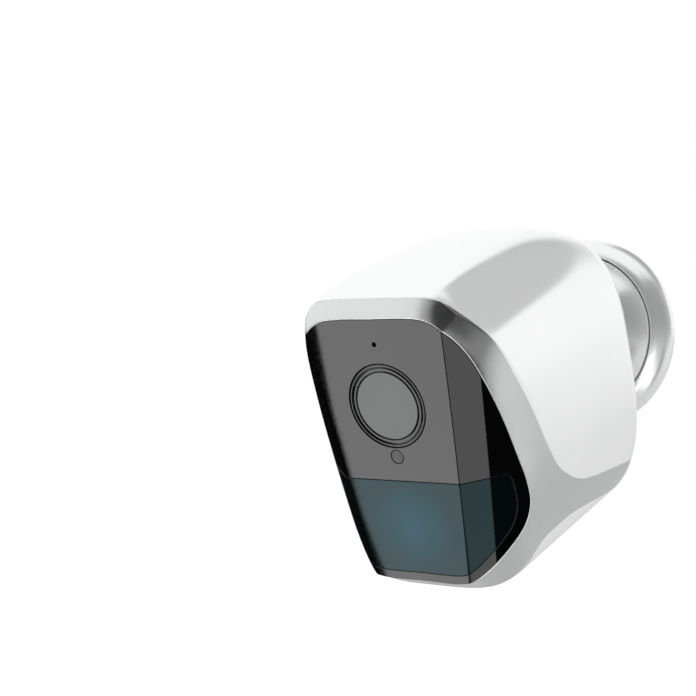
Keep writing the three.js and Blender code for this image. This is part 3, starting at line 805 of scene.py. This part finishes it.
# Most keys are the CAD's material slots.
LOOKS = {
    "black_gloss": black_gloss(),
    "teal_window": teal_window(),
    "lens_glass": lens_glass(),
    "grey_window": grained(
        "smoked_window", (0.004, 0.004, 0.004), (0.010, 0.010, 0.010), 0.09,
        (900, 3), (600, 0.03), specular=0.45,
    ),
    "grey_key": soft_rubber("grey_key", (0.10, 0.102, 0.102), (0.085, 0.087, 0.087)),
    "silver": silver_paint(),
    "white": grained(
        "pearl_white", (0.90, 0.903, 0.905), (0.885, 0.89, 0.893), 0.25,
        (35, 3), (1100, 0.015, 4.0), (260, 0.0005, 2.0), metallic=0.45,
    ),
    "light_rubber": soft_rubber("light_rubber", (0.62, 0.63, 0.62), (0.56, 0.57, 0.56)),
    "rubber": soft_rubber("black_rubber", (0.014, 0.014, 0.014), (0.024, 0.024, 0.024)),
    "black_matte": grained(
        "moulded_black", (0.018, 0.018, 0.019), (0.026, 0.026, 0.028), 0.5,
        (200, 5), (900, 0.08, 5.0), (1500, 0.02, 4.0),
    ),
    "steel": grained(
        "plated_steel", (0.60, 0.605, 0.61), (0.52, 0.525, 0.53), 0.27,
        (300, 4, (1, 1, 12)), (700, 0.07, 4.0, (1, 1, 10)), (1600, 0.004, 3.0, (1, 1, 14)), metallic=1.0,
    ),
    "chip": grained(
        "moulded_package", (0.014, 0.015, 0.017), (0.024, 0.025, 0.027), 0.45,
        (2600, 4), bump=(3600, 0.01, 4.0),
    ),
    "board": circuit_board(),
    "copper": grained(
        "copper_foil", (0.72, 0.40, 0.22), (0.60, 0.31, 0.17), 0.3,
        (400, 4), bump=(900, 0.02, 3.0), metallic=1.0,
    ),
    "cell_wrap": grained(
        "shrink_wrap", (0.02, 0.10, 0.28), (0.03, 0.13, 0.33), 0.3,
        (90, 4, (1, 6, 1)), bump=(240, 0.03, 3.0, (1, 5, 1)),
    ),
    "mount_white": grained(
        "moulded_white", (0.89, 0.893, 0.895), (0.875, 0.88, 0.883), 0.24,
        (40, 3), (900, 0.02, 4.0), (260, 0.0005, 2.0), metallic=0.62,
    ),
    "dark_mesh": grained(
        "dark_mesh", (0.006, 0.006, 0.006), (0.012, 0.012, 0.012), 0.8,
        (4000, 2), bump=(5000, 0.03, 2.0), specular=0.1,
    ),
}
LOOKS = {key: look.material for key, look in LOOKS.items()}


# -------------------------------- outlines on the skin


def parting_half():
    """The line between the frame and the housing, from the top down and over the rear face."""
    angle = np.radians(np.linspace(90, -90, 361))
    edge_y = at_edge(angle)[1]
    low, high = edge_y.copy(), np.full_like(angle, FLAT_START + 45)
    order = np.argsort(-PARTING[:, 1], kind="stable")
    for _ in range(44):
        middle = (low + high) / 2
        p = SKIN.point(np.stack([angle * ARC, middle], 1))
        line_y = np.interp(-p[:, 2], -PARTING[order, 1], PARTING[order, 0])
        before = p[:, 1] < line_y
        low = np.where(before, middle, low)
        high = np.where(before, high, middle)
    return np.stack([angle * ARC, low], 1)


def angle_at_height(y, z):
    """The angle at which the skin's lower right side has a given height."""
    low, high = math.radians(-90), math.radians(0)
    for _ in range(40):
        middle = (low + high) / 2
        height = SKIN.point(np.array([[middle * ARC, y]]))[0, 2]
        low, high = (low, middle) if height > z else (middle, high)
    return low


def belly_half():
    """The edge of the belly cover, from the bottom at the front round to the bottom at the rear."""
    bottom = math.radians(-90) * ARC
    side = [(20.5, -54.6), (22, -52.9), (25, -51.8), (29, -51.6), (38.8, -51.7), (46.2, -52.5),
            (57, -55), (69.2, -58.2), (80, -61.2), (87, -62.6)]
    corner = [(angle_at_height(y, z) * ARC, y) for y, z in side]
    front = [(bottom, 17.5), (corner[0][0] - 18, 17.5), (corner[0][0] - 5, 18.2)]
    rear = [(corner[-1][0] - 1.5, 90), (corner[-1][0] - 5, 91), (bottom, 91)]
    return cut_corners(front + corner + rear, 3)


SKIN = Skin()
TOP_U = math.radians(90) * ARC
BOTTOM_U = -TOP_U


def both_sides(half):
    """A closed outline from its half on the right, which starts and ends at the bottom."""
    other = half.copy()[::-1]
    other[:, 0] = 2 * BOTTOM_U - other[:, 0]
    return np.vstack([half, other[1:-1]])


def body_pieces():
    parting = parting_half()
    rear = np.argmax(parting[:, 1] > FLAT_START)
    parting = np.vstack([resample(parting[:rear], 0.9), resample(parting[rear:], 0.9)])
    belly = resample(belly_half(), 0.9)
    edge = resample(np.stack([EDGE_ANGLE * ARC, VISOR_EDGE[:, 1]], 1), 0.7)
    edge[0, 0], edge[-1, 0] = TOP_U, BOTTOM_U
    opening = rounded_rectangle(-17.3, 17.3, -50.3, 6.3, 8, 12)
    right = opening[opening[:, 0] >= 0]
    right = right[np.argsort(-right[:, 1], kind="stable")]
    right = np.vstack([(0, 6.3), right, (0, -50.3)])
    rim = np.stack([right[:, 0], np.full(len(right), BACK_Y), right[:, 1]], 1)
    opening_plan = SKIN.plan(resample(rim, 1.0))
    opening_plan[0, 0], opening_plan[-1, 0] = TOP_U, BOTTOM_U
    turn = np.radians(np.linspace(90, -90, 181))
    folds = [np.stack([turn * ARC, at_edge(turn)[1] + band_depth(turn)], 1)]
    add_plate(
        "housing", LOOKS["white"], "camera", "white", ["white_shell"], SKIN,
        [parting, opening_plan[::-1]], mirrored=True, spacing=1.1, gap=0.01, roll=0.25, folds=folds,
    )
    add_plate(
        "frame_band", LOOKS["silver"], "camera", "silver", ["silver_frame"], SKIN,
        [edge, belly, parting[::-1]], mirrored=True, spacing=1.0, gap=0.01,
        roll=(0.36, 0.2, 0.1), folds=folds,
    )
    flap = rounded_rectangle(-11.3, 11.3, 58.7, 83.3, 2.5)
    flap_plan = resample_loop(onto_belly(flap), 0.9)
    turns = [k * math.pi / 3 for k in range(6)]
    sound = [(0, 0)] + [(3.4 * math.cos(turn), 4.5 * math.sin(turn)) for turn in turns]
    holes = [circle(1.0, BOTTOM_U + u, SPEAKER_Y + v, 24) for u, v in sound]
    add_plate(
        "belly_plate", LOOKS["white"], "camera", "white", ["belly_cover"], SKIN,
        [both_sides(belly)], holes=[flap_plan] + holes, spacing=1.3, roll=0.25,
    )
    add_plate(
        "flap_skin", LOOKS["light_rubber"], "flap", "light_rubber", ["port_flap"], SKIN,
        [flap_plan], spacing=1.2, roll=0.35, gap=0.12,
    )


def onto_belly(points):
    """Plan places on the skin straight below points (x, y)."""
    x, y = points.T
    low, high = np.full(len(x), math.radians(-140)), np.full(len(x), math.radians(-40))
    for _ in range(40):
        middle = (low + high) / 2
        p = SKIN.point(np.stack([middle * ARC, y], 1))
        low = np.where(p[:, 0] < x, middle, low)
        high = np.where(p[:, 0] < x, high, middle)
    return np.stack([low * ARC, y], 1)


# -------------------------------- visor and windows


def edge_loop(inset):
    """The visor's outline in the front view, moved inwards."""
    half = VISOR_EDGE[:, [0, 2]]
    loop = np.vstack([half, (half * (-1, 1))[::-1][1:-1]])
    loop = resample_loop(loop, 0.8)
    along = unit(np.roll(loop, -1, 0) - np.roll(loop, 1, 0))
    return loop + inset * np.stack([along[:, 1], -along[:, 0]], 1)


def pir_loop():
    loop = edge_loop(PIR_RIM)
    loop = loop[loop[:, 1] < PIR_TOP - 1.6]
    loop[:, 1] = np.maximum(loop[:, 1], PIR_BOTTOM)
    right = loop[:, 0] > 0
    corner = loop[right][0]
    start = int(np.argmax(loop[:, 1] * np.where(right, 1, -1000)))
    loop = np.roll(loop, -start, 0) if right[start] else loop
    top = [(-corner[0] + 0.3, PIR_TOP - 0.6), (-corner[0] + 1.3, PIR_TOP),
           (corner[0] - 1.3, PIR_TOP), (corner[0] - 0.3, PIR_TOP - 0.6)]
    loop = cut_corners(np.vstack([loop, top]), 1, closed=True)
    return resample_loop(loop, 0.7)


def front_pieces():
    window = pir_loop()
    height = np.linspace(26, -56, 83)
    crease = np.stack([visor_crease(height), height], 1)
    folds = [crease, crease * (-1, 1)]
    holes = [
        circle(LENS_RADIUS), circle(STATUS_RADIUS, 0, STATUS_Z, 32),
        circle(0.62, 0, MICROPHONE_Z, 20), window,
    ]
    add_plate(
        "visor_plate", LOOKS["black_gloss"], "camera", "black_gloss", ["front_visor"], Front(),
        [edge_loop(0)], holes=holes, spacing=1.0, gap=0.05, roll=0.16, folds=folds,
    )
    add_plate(
        "motion_window", LOOKS["teal_window"], "camera", "teal_window", ["pir_window"], Front(),
        [window], spacing=1.0, gap=0.05, roll=0.12, folds=folds,
    )
    ring = [(GLASS_RADIUS + 0.12, 2.1, 0), (GLASS_RADIUS + 0.12, 0.02, 0.25), (11.75, 0.02, 0.15),
            (11.8, 0.4, 0.05), (12.0, 0.4, 0.05), (12.05, 0.0, 0.15), (LENS_RADIUS - 0.1, 0.0, 0.25),
            (LENS_RADIUS - 0.1, 2.1, 0), (GLASS_RADIUS + 0.12, 2.1, 0)]
    add_turned(
        "lens_bezel", LOOKS["black_gloss"], "camera", ["lens_ring"],
        lathe(fillet(ring, 0.1)[:-1], sides=128, closed=True),
    )
    cover = [(0, 0.12), (8, 0.12, 0), (GLASS_RADIUS - 0.3, 0.12, 0), (GLASS_RADIUS, 0.12, 0.2),
             (GLASS_RADIUS, 1.8, 0.2), (0, 1.8)]
    add_turned(
        "lens_cover", LOOKS["lens_glass"], "camera", ["lens_glass"],
        lathe(fillet(cover, 0.2), sides=128),
    )
    reach = STATUS_RADIUS - 0.06
    light = [(0, 0.04), (1.5, 0.04, 0), (reach - 0.15, 0.04, 0), (reach, 0.04, 0.1), (reach, 2, 0.1), (0, 2)]
    add_turned(
        "status_lens", LOOKS["grey_window"], "camera", ["status_window"],
        lathe(fillet(light, 0.1), z=STATUS_Z, sides=48),
    )


# -------------------------------- rear seat and mount


def arc(radius, centre, start, end, steps=14):
    """Profile points on a ball, from one reach to another."""
    reach = np.linspace(start, end, steps + 1)
    return [(r, centre - math.sqrt(radius**2 - r**2), 0) for r in reach]


def rear_pieces():
    screws = [(13.4, -1.5), (-13.4, -1.5), (13.4, -44), (-13.4, -44)]
    holes = [circle(CUP_OPENING, 0, BALL_Z)] + [circle(2.8, x, z, 28) for x, z in screws]
    panel = resample_loop(rounded_rectangle(-17, 17, -50, 6, 8, 12), 1.0)
    add_plate(
        "rear_plate", LOOKS["white"], "camera", "white", ["rear_panel"], Rear(BACK_Y - 0.02),
        [panel], holes=holes, spacing=2.5, roll=0.3, gap=0,
    )
    inner = arc(BALL_RADIUS + 1.15, BALL_Y, 0, 16)
    outer = arc(BALL_RADIUS + 2.2, BALL_Y, 0, 16)
    cup = [(r, y) for r, y, _ in outer] + [(16.05, BACK_Y - 0.5)] + [(r, y) for r, y, _ in inner[::-1]]
    add_turned(
        "seat_cup", LOOKS["steel"], "camera", ["steel_cup"], lathe(cup, z=BALL_Z),
    )
    low = arc(BALL_RADIUS + 0.17, BALL_Y, 9.1, 14.4)
    high = arc(BALL_RADIUS + 0.74, BALL_Y, 9.1, 14.4)
    pad = low + high[::-1]
    add_turned(
        "grip_pad", LOOKS["rubber"], "grip", ["grip_ring"],
        lathe([(r, y) for r, y, _ in pad], z=BALL_Z, closed=True),
    )
    for k, (x, z) in enumerate(screws):
        add_turned(
            f"back_screw_{k + 1}", LOOKS["steel"], "camera", [f"rear_screw_{k + 1}"],
            socket_screw(x, z),
        )


def socket_screw(x, z):
    """A small pan-head screw with a six-sided socket."""
    head, sides = BACK_Y - 0.2, 48
    profile = [(0, head - 6), (1.3, head - 6, 0.2), (1.3, head - 0.8, 0), (2.5, head - 0.8, 0.1),
               (2.5, head, 0.3), (1.35, head, 0), (1.35, head - 0.6, 0), (0, head - 0.6)]
    vertices, faces = lathe(fillet(profile, 0.1, 3), sides=sides)
    radius = np.hypot(vertices[:, 0], vertices[:, 2])
    angle = np.arctan2(vertices[:, 2], vertices[:, 0])
    wedge = math.pi / 3
    flat = math.cos(wedge / 2) / np.cos((angle + wedge / 2) % wedge - wedge / 2)
    socket = (vertices[:, 1] > head - 0.7) & (radius < 1.4) & (radius > 0.1)
    vertices[socket] *= np.stack([flat, np.ones_like(flat), flat], 1)[socket]
    return vertices + (x, 0, z), faces


def mount_pieces():
    pad = [(0, -1.2), (27, -1.2, 0.3), (27, 0, 0.3), (0, 0)]
    add_turned("wall_cushion", LOOKS["rubber"], "wall_mount", ["wall_pad"],
               lathe(fillet(pad, 0.3)), in_body=False)
    dish = [(4.2, -1.5, 0), (31.3, -1.5, 0.8), (33.45, -2.6, 1.2), (33.5, -5.2, 1.4), (32.4, -7.6, 1.4),
            (29.6, -10.3, 1.6), (28.0, -11.1, 0.3), (27.65, -10.6, 0.2), (27.65, -7, 0.2), (2.2, -7, 0.2),
            (2.2, -5.2, 0.1), (4.2, -5.2, 0.1), (4.2, -1.5, 0)]
    add_turned("dish", LOOKS["mount_white"], "wall_mount", ["wall_dish"],
               lathe(fillet(dish, 0.3)[:-1], closed=True, sides=144), in_body=False)
    edge = 27.25
    outer = [(r, y) for r, y, _ in arc(BALL_RADIUS, BALL_IN_DOME_Y, 0, edge - 0.35, 40)]
    inner = [(r, y) for r, y, _ in arc(BALL_RADIUS - 2.5, BALL_IN_DOME_Y, 0, 23.5, 16)]
    lip = [(edge, -11.2), (edge, -9.4), (23.5, -9.4)]
    add_turned("dome", LOOKS["mount_white"], "ball", ["mount_dome"],
               lathe(outer + lip + inner[::-1], sides=144), in_body=False)


def button_pieces():
    for name, node, body, x, radius, tip in (
        ("power_key", "power_button", "power_key", -5, 2.4, -59.4),
        ("reset_key", "reset_button", "reset_key", 5, 1.4, -58.4),
    ):
        profile = [(0, tip + 0.15), (radius * 0.5, tip + 0.1, 0.3), (radius, tip, 0.35),
                   (radius, -55.2, 0), (radius + 0.8, -55.2, 0.1), (radius + 0.8, -54.4, 0.1), (0, -54.4)]
        add_turned(name, LOOKS["grey_key"], body, [node],
                   lathe(fillet(profile, 0.1), x=x, z=78.5, sides=48, upright=True))


def dress_frame():
    """Every CAD node that still shows gets its finish from its material slot."""
    slots = {part["node"]: part["material_slot"] for part in frame["record"]["subparts"]}
    for name, obj in frame["nodes"].items():
        look = LOOKS["dark_mesh" if name in ("microphone", "speaker") else slots[name]]
        for k in range(len(obj.data.materials)):
            obj.material_slots[k].material = look


# -------------------------------- studio


BLACK_FLAG = 0.005
MAIN_CARD = 3.4
SIDE_CARD = 1.9


class Sky:
    """Soft boxes and flags round the object, as a shader over directions."""

    def __init__(self):
        self.world = bpy.data.worlds.new("studio")
        bpy.context.scene.world = self.world
        self.world.use_nodes = True
        self.tree = self.world.node_tree
        self.tree.nodes.clear()
        place = self.tree.nodes.new("ShaderNodeTexCoord")
        split = self.tree.nodes.new("ShaderNodeSeparateXYZ")
        self.tree.links.new(place.outputs["Generated"], split.inputs[0])
        self.x, self.y, self.z = split.outputs

    def step(self, value, start, end, low=0.0, high=1.0):
        node = self.tree.nodes.new("ShaderNodeMapRange")
        node.interpolation_type = "SMOOTHSTEP"
        for socket, number in zip(("From Min", "From Max", "To Min", "To Max"), (start, end, low, high)):
            node.inputs[socket].default_value = number
        self.tree.links.new(value, node.inputs["Value"])
        return node.outputs["Result"]

    def math(self, operation, a, b):
        node = self.tree.nodes.new("ShaderNodeMath")
        node.operation = operation
        for socket, value in zip(node.inputs, (a, b)):
            if isinstance(value, (int, float)):
                socket.default_value = value
            else:
                self.tree.links.new(value, socket)
        return node.outputs[0]

    def mix(self, mask, base, other):
        """base where mask is 0 and other where it is 1."""
        keep = self.math("MULTIPLY", base, self.math("SUBTRACT", 1.0, mask))
        return self.math("ADD", keep, self.math("MULTIPLY", other, mask))

    def both(self, a, b):
        return self.math("MULTIPLY", a, b)

    def zone(self, *ramps):
        """The directions inside all the ramps: each is a coordinate with its start and end."""
        mask = self.step(*ramps[0])
        for ramp in ramps[1:]:
            mask = self.both(mask, self.step(*ramp))
        return mask

    def side_of(self, normal, softness):
        """The directions on one side of a plane through the object."""
        parts = [self.math("MULTIPLY", axis, size) for axis, size in zip((self.x, self.y, self.z), normal)]
        along = self.math("ADD", self.math("ADD", parts[0], parts[1]), parts[2])
        return self.step(along, -softness, softness)

    def background(self, strength):
        node = self.tree.nodes.new("ShaderNodeBackground")
        node.inputs["Color"].default_value = (1, 1, 1, 1)
        if isinstance(strength, (int, float)):
            node.inputs["Strength"].default_value = strength
        else:
            self.tree.links.new(strength, node.inputs["Strength"])
        return node.outputs[0]

    def choose(self, mask, no, yes):
        node = self.tree.nodes.new("ShaderNodeMixShader")
        self.tree.links.new(mask, node.inputs[0])
        self.tree.links.new(no, node.inputs[1])
        self.tree.links.new(yes, node.inputs[2])
        return node.outputs[0]


def light_studio():
    """A soft white room. Reflections see flags that dim parts of it, and two bright cards in front.

    The cards' light comes from ahead and a little below, inside one black flag, and the black
    visor mirrors them. Other light is even and soft, and the camera sees plain white.
    """
    sky = Sky()
    x, y, z = sky.x, sky.y, sky.z
    level = sky.step(z, -0.75, 0.1, 0.55, 1.04)
    flags = [
        (((y, 0.35, 0.9), (z, 0.08, -0.12)), 0.58),
        (((x, -0.25, -0.05), (y, 0.1, 0.4), (z, 0.42, 0.6)), 0.12),
        (((x, 0.55, 0.8), (y, 0.62, 0.45), (y, -0.35, -0.1), (z, -0.17, 0.02)), 0.2),
        (((x, -0.46, -0.34), (y, 0.4, 0.0), (z, 0.8, 0.68), (z, -0.62, 0.25)), 0.45),
        (((x, -0.3, 0.12), (y, 0.4, 0.0), (z, 0.85, 0.72), (z, -0.62, 0.25)), 0.0),
        (((x, -0.60, -0.68), (y, 0.9, 0.78), (z, 0.14, 0.04)), BLACK_FLAG),
    ]
    for ramps, dimmed in flags:
        level = sky.mix(sky.zone(*ramps), level, dimmed)
    low = sky.zone((y, 0.02, -0.08), (z, -0.2, -0.28), (z, -0.80, -0.72))
    level = sky.mix(low, level, BLACK_FLAG)
    main = sky.zone((x, -0.40, -0.46))
    for normal in ((0.7845, -0.5750, -0.2323), (0.7661, -0.6223, -0.1604), (0.7368, -0.6704, -0.0878)):
        main = sky.both(main, sky.side_of(normal, 0.0014))
    side = sky.both(sky.step(x, 0.0, 0.12), sky.side_of((-0.5357, -0.8278, -0.1663), 0.002))
    level = sky.mix(sky.both(low, main), level, MAIN_CARD)
    level = sky.mix(sky.both(low, side), level, SIDE_CARD)
    soft = sky.step(z, -1.0, 0.8, 0.86, 1.08)
    paths = sky.tree.nodes.new("ShaderNodeLightPath")
    shader = sky.choose(paths.outputs["Is Glossy Ray"], sky.background(soft), sky.background(level))
    shader = sky.choose(paths.outputs["Is Camera Ray"], shader, sky.background(1.0))
    out = sky.tree.nodes.new("ShaderNodeOutputWorld")
    sky.tree.links.new(shader, out.inputs["Surface"])
    sky.world.cycles.sampling_method = "NONE"
    bpy.context.scene.view_settings.view_transform = "Standard"


def lay_floor():
    """A wide floor, low enough for views from below to pass over it."""
    look = grained("pale_floor", (0.92, 0.92, 0.915), (0.91, 0.91, 0.905), 0.7, (12, 4), specular=0.1)
    look.set("Emission Color", (1, 1, 1, 1))
    look.set("Emission Strength", 0.12)
    size, height = 6.0, -0.75
    corners = [(x * size, y * size, height) for x, y in ((-1, -1), (1, -1), (1, 1), (-1, 1))]
    mesh = bpy.data.meshes.new("floor")
    mesh.from_pydata(corners, [], [(0, 1, 2, 3)])
    mesh.materials.append(look.material)
    floor = bpy.data.objects.new("floor", mesh)
    bpy.context.scene.collection.objects.link(floor)
    floor.visible_glossy = False


def place_camera():
    data = bpy.data.cameras.new("camera")
    data.sensor_width = 36
    data.lens = 78.05
    data.clip_start = 0.02
    data.clip_end = 60
    camera = bpy.data.objects.new("viewpoint", data)
    camera.location = (0.24727, -0.48934, -0.00864)
    turn, tilt = 0.62770, 0.00667
    camera.rotation_euler = (math.pi / 2 + tilt, 0, turn)
    bpy.context.scene.collection.objects.link(camera)
    bpy.context.scene.camera = camera


body_pieces()
front_pieces()
rear_pieces()
mount_pieces()
button_pieces()
dress_frame()
light_studio()
lay_floor()
place_camera()
